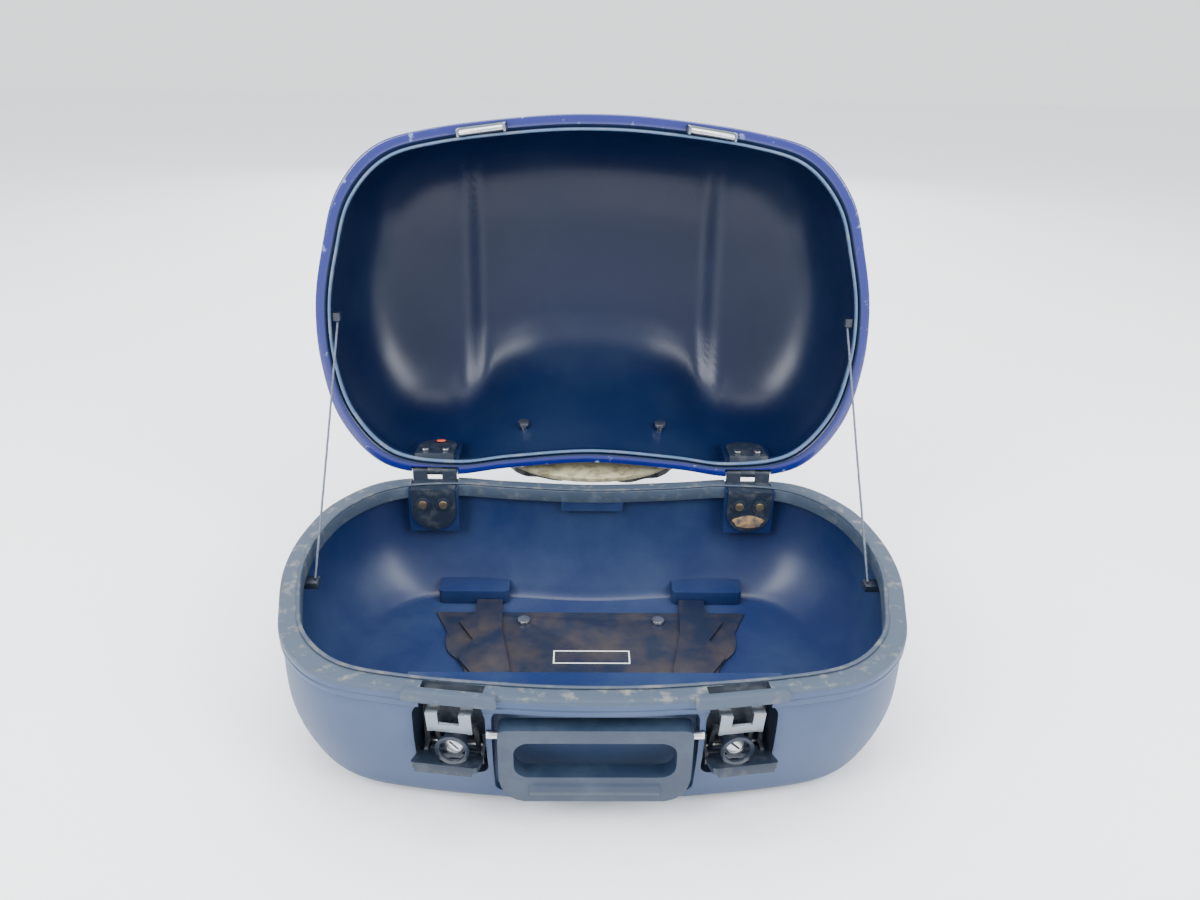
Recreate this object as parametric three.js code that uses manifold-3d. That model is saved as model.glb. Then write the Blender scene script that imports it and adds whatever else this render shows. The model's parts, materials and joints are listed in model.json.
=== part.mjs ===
// A hard motorcycle top case with its lid open: tub, lid, two hinges, two key latches, a folding
// carrying handle, two lid cords, a backrest pad and a mounting plate.
// Millimetres, +Z up, +Y towards the hinges (the rider), origin at the middle of the mounting face.
import * as THREE from "three";
import { mergeVertices } from "three/addons/utils/BufferGeometryUtils.js";
import Module from "manifold-3d";

const wasm = await Module();
wasm.setup();

// ---------------------------------------------------------------- driving dimensions
const HALF_WIDTH = 260; // half of the overall width, at the rims
const FRONT_Y = -169.5; // front middle of the rims
const BACK_Y = 163; // reference depth of the rims behind the origin
const RIM_Z = 121; // top of the tub's flange
const SEAL_TOP_Z = 122.8; // top of the rubber on the flange
const LID_Z = 124; // underside of the lid's rim when closed
const LID_HEIGHT = 151; // lid shoulders above its rim
const ROOF_STEP = 16; // how much higher the middle of the roof stands
const GAP = 0.3; // between pieces that touch
const RING_POINTS = 64; // points round the big shells

const HINGE_X = 155;
const HINGE_Y = 167;
const HINGE_Z = 129.3;
const OPEN = THREE.MathUtils.degToRad(97.2); // how far the cords let the lid open

const LATCH_X = 102;
const LATCH_Y = -162;
const LATCH_YAW = THREE.MathUtils.degToRad(8); // the front wall is bowed, so the latches face outwards
const LEVER_Y = 14;
const LEVER_Z = 57.3;
const LEVER_REACH = 29.5; // from its pin to its tip
const LEVER_REST = THREE.MathUtils.degToRad(20); // an open lever points out and a little up
const CLAW_Y = 21;
const CLAW_Z = 60.2;
const CLAW_OPEN = THREE.MathUtils.degToRad(10); // how far an open claw leans out
const LOCK_Z = 72;
const ROLLER_Y = 8.5; // the lid's catch roller, seen from a latch's own frame
const ROLLER_Z = 107.5;

const HANDLE_Y = -164;
const HANDLE_Z = 88;
const HANDLE_TILT = THREE.MathUtils.degToRad(4);
const HANDLE_HALF = 69;
const HANDLE_LENGTH = 60;
const HANDLE_THICK = 13;

const CORD_RADIUS = 1;
const CORD_CASE = [238, 12, 103]; // where a cord leaves its clip on the tub's side wall
const CORD_LID = [241.3, 20, 130]; // where it leaves its clip on the lid's rim, lid closed

const PAD_TILT = THREE.MathUtils.degToRad(16); // the lid's back wall leans forwards
const PAD_Y = 168.5; // inner face of the backrest board, level with the lid's rim
const PAD_BOLT_X = 70;
const PAD_BOLT_Z = 61;

const FLOOR_BOLT_X = 64.5;
const FLOOR_BOLT_Y = 78.6;

const SIDES = [
  ["left", -1],
  ["right", 1],
];

// ---------------------------------------------------------------- materials
const material = (color, roughness, metalness = 0) =>
  new THREE.MeshStandardMaterial({ color, roughness, metalness });
const BLACK_PLASTIC = material(0x1b2740, 0.45);
const BLUE_PAINT = material(0x1c2f8c, 0.2);
const DARK_PLASTIC = material(0x161c2c, 0.5);
const RUBBER = material(0x565a60, 0.8);
const STEEL = material(0xb9bcc0, 0.3, 1);
const BRASS = material(0x9c7c4a, 0.4, 1);
const VINYL = material(0x14161c, 0.6);
const BOARD = material(0xa39468, 0.9);
const CORD = material(0x6b7078, 0.9);

// ---------------------------------------------------------------- geometry helpers
const positionsOnly = (geometry) => {
  const bare = new THREE.BufferGeometry();
  bare.setAttribute("position", geometry.getAttribute("position").clone());
  bare.setIndex(geometry.getIndex());
  return mergeVertices(bare, 1e-3);
};

// A closed geometry as a manifold solid, turned right side out.
function solid(geometry) {
  const merged = positionsOnly(geometry);
  const triVerts = new Uint32Array(merged.getIndex().array);
  const vertProperties = new Float32Array(merged.getAttribute("position").array);
  const made = new wasm.Manifold(new wasm.Mesh({ numProp: 3, vertProperties, triVerts }));
  if (made.volume() > 0) return made;
  for (let i = 0; i < triVerts.length; i += 3)
    [triVerts[i + 1], triVerts[i + 2]] = [triVerts[i + 2], triVerts[i + 1]];
  return new wasm.Manifold(new wasm.Mesh({ numProp: 3, vertProperties, triVerts }));
}

function geometryOf(made) {
  const { vertProperties, triVerts, numProp } = made.getMesh();
  const points = new Float32Array((vertProperties.length / numProp) * 3);
  for (let i = 0; i < points.length / 3; i++)
    points.set(vertProperties.subarray(i * numProp, i * numProp + 3), i * 3);
  const geometry = new THREE.BufferGeometry();
  geometry.setAttribute("position", new THREE.BufferAttribute(points, 3));
  geometry.setIndex(new THREE.BufferAttribute(triVerts, 1));
  return geometry;
}

const join = (...solids) => solids.reduce((a, b) => a.add(b));
const cut = (body, ...tools) => tools.reduce((a, b) => a.subtract(b), body);

const moved = (geometry, x, y, z) => geometry.translate(x, y, z);

// A box between two corners.
function block(x0, x1, y0, y1, z0, z1) {
  const geometry = new THREE.BoxGeometry(x1 - x0, y1 - y0, z1 - z0);
  return solid(moved(geometry, (x0 + x1) / 2, (y0 + y1) / 2, (z0 + z1) / 2));
}

// A cylinder along X or Y between two places.
function rod(axis, radius, from, to, [u, v], segments = 12) {
  const geometry = new THREE.CylinderGeometry(radius, radius, to - from, segments);
  if (axis === "x") geometry.rotateZ(-Math.PI / 2).translate((from + to) / 2, u, v);
  else if (axis === "y") geometry.translate(u, (from + to) / 2, v);
  else geometry.rotateX(Math.PI / 2).translate(u, v, (from + to) / 2);
  return solid(geometry);
}

// A closed outline in the XZ plane, extruded along Y.
function plateXZ(shape, y0, y1, curveSegments = 6) {
  const geometry = new THREE.ExtrudeGeometry(shape, {
    depth: y1 - y0,
    bevelEnabled: false,
    curveSegments,
  });
  return solid(geometry.rotateX(Math.PI / 2).translate(0, y1, 0));
}

// A closed outline in the XY plane, extruded along Z.
function plateXY(shape, z0, z1, curveSegments = 6) {
  const geometry = new THREE.ExtrudeGeometry(shape, {
    depth: z1 - z0,
    bevelEnabled: false,
    curveSegments,
  });
  return solid(geometry.translate(0, 0, z0));
}

// A rectangle with round corners as a Shape, or as a Path for a hole.
function roundedRectangle(x0, x1, y0, y1, radius, Kind = THREE.Shape) {
  const outline = new Kind();
  outline.moveTo(x0 + radius, y0);
  outline.lineTo(x1 - radius, y0);
  outline.absarc(x1 - radius, y0 + radius, radius, -Math.PI / 2, 0);
  outline.lineTo(x1, y1 - radius);
  outline.absarc(x1 - radius, y1 - radius, radius, 0, Math.PI / 2);
  outline.lineTo(x0 + radius, y1);
  outline.absarc(x0 + radius, y1 - radius, radius, Math.PI / 2, Math.PI);
  outline.lineTo(x0, y0 + radius);
  outline.absarc(x0 + radius, y0 + radius, radius, Math.PI, Math.PI * 1.5);
  return outline;
}

const smooth = (a, b, v) => {
  const t = Math.min(1, Math.max(0, (v - a) / (b - a)));
  return t * t * (3 - 2 * t);
};

// ---------------------------------------------------------------- the plan outline of both rims
// Half of the outline, from the middle of the front round to the middle of the concave back.
const HALF_OUTLINE = [
  [0, -169.5],
  [62, -166.5],
  [146, -155.5],
  [199, -139],
  [234, -100.5],
  [250, -50.5],
  [260, 3],
  [258.5, 60],
  [243, 116],
  [204, 159.5],
  [141, 170],
  [83, 163],
  [0, 156.5],
];
const mirrored = HALF_OUTLINE.slice(1, -1)
  .reverse()
  .map(([x, y]) => [-x, y]);
const outlineCurve = new THREE.CatmullRomCurve3(
  [...HALF_OUTLINE, ...mirrored].map(([x, y]) => new THREE.Vector3(x, y, 0)),
  true,
  "catmullrom",
  0.5,
);
const OUTLINE = Array.from({ length: RING_POINTS }, (_, i) =>
  outlineCurve.getPoint(i / RING_POINTS),
);

// The outline drawn in by so many millimetres at the sides, the front and the back.
function ring(z, side, front = side, back = side) {
  return OUTLINE.map((p) => {
    const depth = p.y < 0 ? 1 - front / -FRONT_Y : 1 - back / BACK_Y;
    return [p.x * (1 - side / HALF_WIDTH), p.y * depth, z];
  });
}

// Skins a stack of rings. Open stacks are closed by a fan at each end, and a looped stack is a tube
// bent into a ring.
function loft(rings, looped = false) {
  const n = RING_POINTS;
  const points = rings.flat();
  const index = [];
  const bands = looped ? rings.length : rings.length - 1;
  for (let k = 0; k < bands; k++) {
    const low = k * n;
    const high = ((k + 1) % rings.length) * n;
    for (let i = 0; i < n; i++) {
      const j = (i + 1) % n;
      index.push(low + i, low + j, high + j, low + i, high + j, high + i);
    }
  }
  if (!looped)
    for (const [k, flip] of [[0, true], [rings.length - 1, false]]) {
      const start = k * n;
      const middle = [0, 0, rings[k].reduce((sum, p) => sum + p[2], 0) / n];
      points.push(middle);
      for (let i = 0; i < n; i++) {
        const j = (i + 1) % n;
        index.push(points.length - 1, start + (flip ? j : i), start + (flip ? i : j));
      }
    }
  const geometry = new THREE.BufferGeometry();
  geometry.setAttribute("position", new THREE.Float32BufferAttribute(points.flat(), 3));
  geometry.setIndex(index);
  return solid(geometry);
}

// ---------------------------------------------------------------- placing and naming
const root = new THREE.Group();
const lidGroup = new THREE.Group(); // holds the lid's pieces in their closed place
lidGroup.position.set(0, HINGE_Y, HINGE_Z);
lidGroup.rotation.x = -OPEN;
const lidFrame = new THREE.Group();
lidFrame.position.set(0, -HINGE_Y, -HINGE_Z);
lidGroup.add(lidFrame);
root.add(lidGroup);

function piece(name, made, finish, parent = root) {
  const mesh = new THREE.Mesh(geometryOf(made), finish);
  mesh.name = name;
  parent.add(mesh);
  return mesh;
}

// A frame on the front wall, turned to face straight out of it: X along the wall, -Y out of it.
function latchFrame(sign, parent) {
  const group = new THREE.Group();
  group.position.set(sign * LATCH_X, LATCH_Y, 0);
  group.rotation.z = sign * LATCH_YAW;
  parent.add(group);
  group.updateMatrix();
  return group;
}
const inLatchFrame = (made, sign) => {
  const frame = latchFrame(sign, new THREE.Group());
  return made.transform(Array.from(frame.matrix.elements));
};

// ---------------------------------------------------------------- fasteners
// A rivet along Y: a shank with a round head on its inner end and a flat one on its outer end.
function rivet(x, z, yInner, yOuter, shank = 2.4, head = 4.2) {
  return join(
    rod("y", shank, yInner - 0.5, yOuter, [x, z], 10),
    rod("y", head, yInner - 2.2, yInner, [x, z], 12),
    rod("y", head, yOuter, yOuter + 1.6, [x, z], 12),
  );
}

// ---------------------------------------------------------------- tub
// Rows are height, then how far the outline is drawn in at the sides, the front and the back.
const TUB_OUTSIDE = [
  [6, 26, 27, 26],
  [9, 20, 23.5, 21],
  [14, 15, 20.5, 17],
  [22, 11, 17.5, 13],
  [38, 5.5, 12, 9],
  [58, 2, 6.5, 5],
  [80, 1.5, 3, 3],
  [100, 2, 2.5, 3],
  [106, 2.5, 3, 3.5],
  [108, 0.5, 0.5, 1],
  [119, 0, 0, 0],
  [RIM_Z, 1, 1, 1],
];
const TUB_INSIDE = [
  [RIM_Z, 17, 17, 17],
  [109, 17.5, 17.5, 17.5],
  [106, 7, 7.5, 10],
  [80, 7, 8, 12],
  [55, 11, 11.5, 17],
  [34, 20, 18, 25],
  [20, 32, 26, 32],
  [12, 44, 33, 37],
  [9.5, 52, 38, 41],
];
const rings = (rows) => rows.map((row) => ring(...row));

const POCKET_TOP = 114.6;
const HANDLE_POCKET_HALF = 73.5;

// What a latch needs cut out of the front wall, in its own frame.
function latchPocket(sign) {
  const sides = [-24 * sign, 28.5 * sign].sort((a, b) => a - b);
  const arch = plateXZ(roundedRectangle(...sides, 44, 108, 9), -30, 27, 4);
  const clawRoom = block(-22.5, 22.5, -30, 14, 98, POCKET_TOP);
  const keeperSlot = block(-22.5, 22.5, 3, 13.4, POCKET_TOP - 1, 130);
  return inLatchFrame(join(arch, clawRoom, keeperSlot), sign);
}

// The raised lip of the flange over a latch.
const latchHood = (sign) =>
  inLatchFrame(plateXZ(roundedRectangle(-34, 34, POCKET_TOP + 0.1, 123.4, 3), -3.5, 2.9, 3), sign);

function hingeRivetPlaces(sign) {
  return [-10, 10].map((dx) => sign * HINGE_X + dx);
}
const RIVET_Z = 105;
const RIVET_IN = 141.4;
const RIVET_OUT = 160;

function tub() {
  const outside = rings(TUB_OUTSIDE);
  const hull = loft([...outside, ring(RIM_Z + 0.2, 1)]);
  let made = loft([...outside, ...rings(TUB_INSIDE)]);
  const frontBoss = block(-136, 136, -175, -127.5, 8, 114).intersect(hull);
  const hingePads = SIDES.map(([, s]) =>
    block(s * HINGE_X - 24, s * HINGE_X + 24, 144, 160, 74, 120.8).intersect(hull),
  );
  const centreTab = block(-30, 30, 140, 150, 99, 110);
  const hoods = SIDES.map(([, s]) => latchHood(s));
  made = join(made, frontBoss, ...hingePads, centreTab, ...hoods);
  const handlePocket = plateXZ(
    roundedRectangle(-HANDLE_POCKET_HALF, HANDLE_POCKET_HALF, 20, 108, 8), -200, -143, 4,
  );
  made = cut(made, handlePocket, ...SIDES.map(([, s]) => latchPocket(s)));
  for (const [, s] of SIDES) {
    const x = s * HINGE_X;
    const pinEnds = [s * 70, s * 77.3].sort((a, b) => a - b);
    made = cut(
      made,
      rod("x", 3.4, ...pinEnds, [HANDLE_Y, HANDLE_Z], 10),
      block(x - 22.6, x + 22.6, 139, 190, 118.6, 123),
      ...hingeRivetPlaces(s).flatMap((rx) => [
        rod("y", 2.8, 138, 170, [rx, RIVET_Z], 10),
        rod("y", 5, RIVET_OUT, 180, [rx, RIVET_Z], 10),
      ]),
      rod("z", 3.3, 0, 20, [s * FLOOR_BOLT_X, FLOOR_BOLT_Y], 10),
    );
  }
  return made;
}
piece("tub_shell", tub(), BLACK_PLASTIC);

// The rubber on the inner edge of the flange, which the lid closes on.
piece(
  "flange_seal",
  loft(
    [
      ring(RIM_Z + 0.3, 13.9),
      ring(SEAL_TOP_Z, 14.3),
      ring(SEAL_TOP_Z, 16.3),
      ring(RIM_Z + 0.3, 16.7),
    ],
    true,
  ),
  RUBBER,
);

// ---------------------------------------------------------------- floor and mounting plate
const FLOOR_Z = 9.5;
const boltHoles = (radius) =>
  SIDES.map(([, s]) => rod("z", radius, -5, 30, [s * FLOOR_BOLT_X, FLOOR_BOLT_Y], 10));

function floorPanel() {
  const outline = new THREE.Shape();
  outline.moveTo(0, -104);
  outline.lineTo(104, -104);
  outline.quadraticCurveTo(106, -40, 111, -8);
  outline.quadraticCurveTo(114, 14, 128, 27);
  outline.quadraticCurveTo(137, 37, 136, 61);
  outline.lineTo(150, 94);
  outline.lineTo(-150, 94);
  outline.lineTo(-136, 61);
  outline.quadraticCurveTo(-137, 37, -128, 27);
  outline.quadraticCurveTo(-114, 14, -111, -8);
  outline.quadraticCurveTo(-106, -40, -104, -104);
  return cut(plateXY(outline, FLOOR_Z + GAP, FLOOR_Z + 2.6), ...boltHoles(3.3));
}
piece("floor_panel", floorPanel(), DARK_PLASTIC);

const PLATE_TOP = 5.7;
const mountingPlate = plateXY(roundedRectangle(-176, 176, -124, 118, 46), 0, PLATE_TOP, 8);
piece("mounting_plate", cut(mountingPlate, ...boltHoles(3.3)), DARK_PLASTIC);

// The room inside the tub near its floor, a little smaller all round.
const lowRoom = loft(
  TUB_INSIDE.filter(([z]) => z < 60)
    .map(([z, ...insets]) => ring(z + GAP, ...insets.map((inset) => inset + 0.7)))
    .reverse(),
);
for (const [side, s] of SIDES) {
  const place = [s * FLOOR_BOLT_X, FLOOR_BOLT_Y];
  const head = rod("z", 6, FLOOR_Z + 2.9, FLOOR_Z + 5.6, place, 12);
  piece(`floor_bolt_${side}`, join(rod("z", 3, 1, 14, place, 10), head), STEEL);
  const ends = [s * 81, s * 150].sort((a, b) => a - b);
  const wedge = plateXY(roundedRectangle(...ends, 112, 146, 5), FLOOR_Z + GAP, 24, 3);
  piece(`floor_block_${side}`, wedge.intersect(lowRoom), DARK_PLASTIC);
}

// ---------------------------------------------------------------- lid
const LID_OUTSIDE = [
  [0, 1, 1, 1],
  [6, 0, 0, 0],
  [16, 0, 0, 0.5],
  [42, 1.5, 2, 5],
  [78, 5, 6, 14],
  [106, 11, 13, 24],
  [126, 22, 26, 40],
  [139, 39, 44, 60],
  [146, 66, 70, 84],
  [149.2, 90, 90, 102],
  [150.2, 108, 102, 113],
  [150.6, 122, 110, 120],
  [150.8, 136, 118, 127],
  [LID_HEIGHT, 150, 126, 134],
];
const LID_DENT = 34;
const LID_WALL = 2.8;
const LID_RIM_WIDTH = 14.5;

// The middle of the roof stands higher than its shoulders, and the middle of the back is drawn in.
function lidRing([height, side, front, back], lift = 0) {
  const raise = ROOF_STEP * smooth(60, 140, height);
  const dent = LID_DENT * Math.min(1, height / 126);
  return ring(LID_Z + height - lift, side, front, back).map(([x, y, z]) => [
    x,
    y - dent * (1 - smooth(50, 160, Math.abs(x))) * smooth(0, 110, y),
    z + raise * (1 - smooth(112, 142, Math.abs(x))),
  ]);
}

function lid() {
  const outside = LID_OUTSIDE.map((row) => lidRing(row)).reverse();
  const inward = LID_OUTSIDE.filter(([height]) => height > 16).map(([height, ...insets]) =>
    lidRing([height, ...insets.map((inset) => inset + LID_WALL)], LID_WALL * smooth(60, 140, height)),
  );
  let made = loft([
    ...outside,
    ring(LID_Z, LID_RIM_WIDTH - 3.2),
    ring(LID_Z + 2.8, LID_RIM_WIDTH - 3.2),
    ring(LID_Z + 2.8, LID_RIM_WIDTH),
    ring(LID_Z + 9, LID_RIM_WIDTH),
    ring(LID_Z + 18, 7, 7, 9),
    ...inward,
  ]);
  const hull = loft([...outside].reverse());
  const hingePads = SIDES.map(([, s]) =>
    block(s * HINGE_X - 24, s * HINGE_X + 24, 150.6, 164, LID_Z + 3, LID_Z + 52).intersect(hull),
  );
  made = join(made, ...hingePads);
  for (const [, s] of SIDES) {
    const x = s * HINGE_X;
    made = cut(
      made,
      block(x - 22.6, x + 22.6, 139, 190, LID_Z + 2.3, LID_Z + 4.9),
      rod("x", 5.4, x - 22.6, x + 22.6, [HINGE_Y, HINGE_Z], 12),
      block(x - 22.6, x + 22.6, 161.6, 190, LID_Z - 2, LID_Z + 5.3),
      inLatchFrame(block(-22, 22, 3.2, 10.9, LID_Z - 1, LID_Z + 1.2), s),
      ...hingeRivetPlaces(s).flatMap((rx) => [
        rod("y", 2.8, 138, 170, [rx, LID_RIVET_Z], 10),
        rod("y", 5, LID_RIVET_OUT, 180, [rx, LID_RIVET_Z], 10),
      ]),
      padBoltHole(s),
    );
  }
  return made;
}
const LID_RIVET_Z = 137;
const LID_RIVET_IN = 148;
const LID_RIVET_OUT = 159;

// The backrest's frame leans with the lid's back wall. Its bolts run along its Y axis.
const inPadFrame = (made) => {
  const frame = new THREE.Object3D();
  frame.position.set(0, PAD_Y, LID_Z);
  frame.rotation.x = PAD_TILT;
  frame.updateMatrix();
  return made.transform(Array.from(frame.matrix.elements));
};
function padBoltHole(sign) {
  return inPadFrame(rod("y", 3.1, -40, 12, [sign * PAD_BOLT_X, PAD_BOLT_Z], 10));
}
piece("lid_shell", lid(), BLUE_PAINT, lidFrame);

// The bead round the inner edge of the lid's rim, which presses on the seal.
piece(
  "lid_bead",
  loft(
    [
      ring(LID_Z - 0.7, 12.2),
      ring(LID_Z + 2.5, 11.8),
      ring(LID_Z + 2.5, LID_RIM_WIDTH),
      ring(LID_Z - 0.7, 14.1),
    ],
    true,
  ),
  RUBBER,
  lidFrame,
);

// ---------------------------------------------------------------- hinges
const KNUCKLE = 4.3;
const LEAF = 2;

function knuckle(x0, x1) {
  return rod("x", KNUCKLE, x0, x1, [HINGE_Y, HINGE_Z], 14);
}

// A leaf: a half-moon plate on the inside of the wall, and a strap out to its knuckles.
function leaf(x, half, [plateY, plateZ], strapZ, knuckles, arcUp) {
  const moon = new THREE.Shape();
  moon.moveTo(x - half, strapZ);
  moon.lineTo(x + half, strapZ);
  moon.lineTo(x + half, plateZ);
  moon.absarc(x, plateZ, half, 0, arcUp ? Math.PI : -Math.PI, !arcUp);
  moon.lineTo(x - half, strapZ);
  const plate = plateXZ(moon, plateY + GAP, plateY + GAP + LEAF, 8);
  const low = arcUp ? strapZ : strapZ - LEAF;
  const strap = block(x - half, x + half, plateY + GAP, HINGE_Y - 1, low, low + LEAF);
  const webLow = Math.min(low, HINGE_Z);
  const webs = knuckles.map(([a, b]) =>
    block(x + a, x + b, HINGE_Y - KNUCKLE, HINGE_Y - 1, webLow, Math.max(low + LEAF, HINGE_Z)),
  );
  return join(plate, strap, ...webs, ...knuckles.map(([a, b]) => knuckle(x + a, x + b)));
}
const OUTER_KNUCKLES = [[-21.5, -7.2], [7.2, 21.5]];
const MIDDLE_KNUCKLE = [[-6.9, 6.9]];

// Takes the other leaf's knuckles, with room to turn, out of a leaf's strap.
function clearOf(x, knuckles, made) {
  return cut(
    made,
    ...knuckles.map(([a, b]) => rod("x", KNUCKLE + 0.9, x + a - 0.3, x + b + 0.3, [HINGE_Y, HINGE_Z], 14)),
  );
}

for (const [side, s] of SIDES) {
  const x = s * HINGE_X;
  const places = hingeRivetPlaces(s);
  const pinHole = rod("x", 2.1, x - 25, x + 25, [HINGE_Y, HINGE_Z], 10);
  const caseLeaf = cut(
    clearOf(x, MIDDLE_KNUCKLE, leaf(x, 21.5, [RIVET_IN, 98], RIM_Z - 0.2, OUTER_KNUCKLES, false)),
    pinHole,
    ...places.map((rx) => rod("y", 2.8, 138, 150, [rx, RIVET_Z], 10)),
  );
  piece(`case_hinge_leaf_${side}`, caseLeaf, DARK_PLASTIC);
  const lidLeaf = cut(
    clearOf(x, OUTER_KNUCKLES, leaf(x, 19, [LID_RIVET_IN, 153], LID_Z + 2.6, MIDDLE_KNUCKLE, true)),
    pinHole,
    ...places.map((rx) => rod("y", 2.8, 138, 152, [rx, LID_RIVET_Z], 10)),
  );
  piece(`lid_hinge_leaf_${side}`, lidLeaf, DARK_PLASTIC, lidFrame);
  piece(`hinge_pin_${side}`, rod("x", 1.8, x - 21.9, x + 21.9, [HINGE_Y, HINGE_Z], 10), STEEL);
  places.forEach((rx, i) => {
    piece(`case_rivet_${side}_${i + 1}`, rivet(rx, RIVET_Z, RIVET_IN, RIVET_OUT + GAP), BRASS);
    const lidRivet = rivet(rx, LID_RIVET_Z, LID_RIVET_IN, LID_RIVET_OUT + GAP);
    piece(`lid_rivet_${side}_${i + 1}`, lidRivet, STEEL, lidFrame);
  });
}

// ---------------------------------------------------------------- latches
const LOCK_RADIUS = 6.8;
const HOUSING_RADIUS = 8.8;

// A profile in the YZ plane, extruded along X between two places.
function plateYZ(points, x0, x1) {
  const shape = new THREE.Shape(points.map(([y, z]) => new THREE.Vector2(y, z)));
  const geometry = new THREE.ExtrudeGeometry(shape, { depth: x1 - x0, bevelEnabled: false });
  const swap = new THREE.Matrix4().set(0, 0, 1, 0, 1, 0, 0, 0, 0, 1, 0, 0, 0, 0, 0, 1);
  return solid(geometry.applyMatrix4(swap).translate(x0, 0, 0));
}
const span = (sign, inner, outer) => [-inner * sign, outer * sign].sort((a, b) => a - b);

function latchBracket(sign) {
  const back = plateXZ(roundedRectangle(...span(sign, 21, 25), 52, 104, 8.5), 24.3, 26.7, 3);
  const cheekOutline = [[8.5, 54], [8.5, 58.5], [11, 62], [14.5, 63.2], [17.2, 64.5], [17.2, 74], [25, 74],
    [25, 51.5], [11, 51.5]];
  const cheeks = [span(sign, 20.6, -18), span(sign, -21.2, 24)].map(([a, b]) =>
    plateYZ(cheekOutline, a, b),
  );
  const housing = rod("y", HOUSING_RADIUS, 5.5, 25, [0, LOCK_Z], 20);
  const bore = rod("y", LOCK_RADIUS + 0.35, -5, 22, [0, LOCK_Z], 20);
  const pins = [[LEVER_Y, LEVER_Z], [CLAW_Y, CLAW_Z]].map((p) => rod("x", 1.9, -30, 30, p, 10));
  return cut(join(back, ...cheeks, housing), bore, ...pins);
}

function lockCylinder() {
  const barrel = rod("y", LOCK_RADIUS, 4.8, 21.6, [0, LOCK_Z], 20);
  const key = block(-4.6, 4.6, 0, 9.5, LOCK_Z - 0.7, LOCK_Z + 0.7);
  return cut(barrel, key);
}

// The lever, drawn pointing straight out from its pin. A hole in it clears the lock when it is shut.
function latchLever(sign) {
  const out = (from, to) => [LEVER_Y - to, LEVER_Y - from];
  const tray = plateXY(
    roundedRectangle(...span(sign, 21, 27.5), ...out(7, LEVER_REACH), 3.5), LEVER_Z - 2.2, LEVER_Z + 2.2, 3,
  );
  const lip = block(...span(sign, 17.5, 24), ...out(LEVER_REACH - 2.6, LEVER_REACH), LEVER_Z - 4.5, LEVER_Z);
  const barrel = rod("x", 3.6, ...span(sign, 17.5, 20.8), [LEVER_Y, LEVER_Z], 12);
  const neck = block(...span(sign, 17.5, 20.8), ...out(0, 8), LEVER_Z - 2.2, LEVER_Z + 2.2);
  const lockHole = rod("z", HOUSING_RADIUS + 1.8, LEVER_Z - 9, LEVER_Z + 9, [0, LEVER_Y - 15.2], 20);
  const pinHole = rod("x", 1.9, -30, 30, [LEVER_Y, LEVER_Z], 10);
  return cut(join(tray, lip, barrel, neck), lockHole, pinHole);
}

// The claw shut: two arms up from its pin, a cross bar and two hooks over the roller. The hooks'
// undersides follow an arc about the pin.
function latchClaw() {
  const profile = [[18, 61.5], [19, 58], [20.4, 57.2], [22.4, 57.4], [23.8, 59], [24, 62], [22.5, 74],
    [18, 88], [5.2, 97], [2.6, 97], [2.6, 94], [14.5, 86.4], [17, 76], [18, 66]];
  const arms = [[-16.2, -12.8], [12.8, 16.2]].map(([a, b]) => plateYZ(profile, a, b));
  const bar = block(-16.2, 16.2, 2.6, 5.2, 94.5, 102);
  const hook = [[2.6, 100], [5.2, 100], [5.2, 109.7], [10.5, 111.2], [10.2, 113.3], [2.6, 113.3]];
  const hooks = [[-16.2, -7.5], [7.5, 16.2]].map(([a, b]) => plateYZ(hook, a, b));
  return cut(join(...arms, bar, ...hooks), rod("x", 1.9, -30, 30, [CLAW_Y, CLAW_Z], 10));
}

for (const [side, s] of SIDES) {
  const frame = latchFrame(s, root);
  const lidSideFrame = latchFrame(s, lidFrame);
  piece(`latch_bracket_${side}`, latchBracket(s), DARK_PLASTIC, frame);

  const lock = new THREE.Group(); // the key slot rests at a slant
  lock.position.set(0, 0, LOCK_Z);
  lock.rotation.y = Math.PI / 4;
  frame.add(lock);
  piece(`lock_cylinder_${side}`, lockCylinder(), STEEL, lock).position.z = -LOCK_Z;

  const lever = new THREE.Group();
  lever.position.set(0, LEVER_Y, LEVER_Z);
  lever.rotation.x = -LEVER_REST;
  frame.add(lever);
  piece(`latch_lever_${side}`, latchLever(s), DARK_PLASTIC, lever).position.set(0, -LEVER_Y, -LEVER_Z);
  piece(`lever_pin_${side}`, rod("x", 1.6, ...span(s, 20.6, 24), [LEVER_Y, LEVER_Z], 10), STEEL, frame);

  const claw = new THREE.Group(); // leans out of the way of the lid when open
  claw.position.set(0, CLAW_Y, CLAW_Z);
  claw.rotation.x = CLAW_OPEN;
  frame.add(claw);
  piece(`latch_claw_${side}`, latchClaw(), STEEL, claw).position.set(0, -CLAW_Y, -CLAW_Z);
  piece(`claw_pin_${side}`, rod("x", 1.6, ...span(s, 20.6, 24), [CLAW_Y, CLAW_Z], 10), STEEL, frame);

  const legs = [[-21.4, -19.6], [19.6, 21.4]].map(([a, b]) =>
    plateYZ([[3.6, 124], [10.5, 124], [11.6, 105], [5.2, 104]], a, b),
  );
  const keeper = cut(
    join(block(-21.4, 21.4, 3.6, 10.5, LID_Z - 1.4, LID_Z + 0.8), ...legs),
    rod("x", 1.9, -30, 30, [ROLLER_Y, ROLLER_Z], 10),
  );
  piece(`lid_keeper_${side}`, keeper, STEEL, lidSideFrame);
  const roller = join(
    rod("x", 2.6, -19.2, 19.2, [ROLLER_Y, ROLLER_Z], 14),
    rod("x", 1.6, -21.4, 21.4, [ROLLER_Y, ROLLER_Z], 10),
  );
  piece(`keeper_roller_${side}`, roller, STEEL, lidSideFrame);
}

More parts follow.
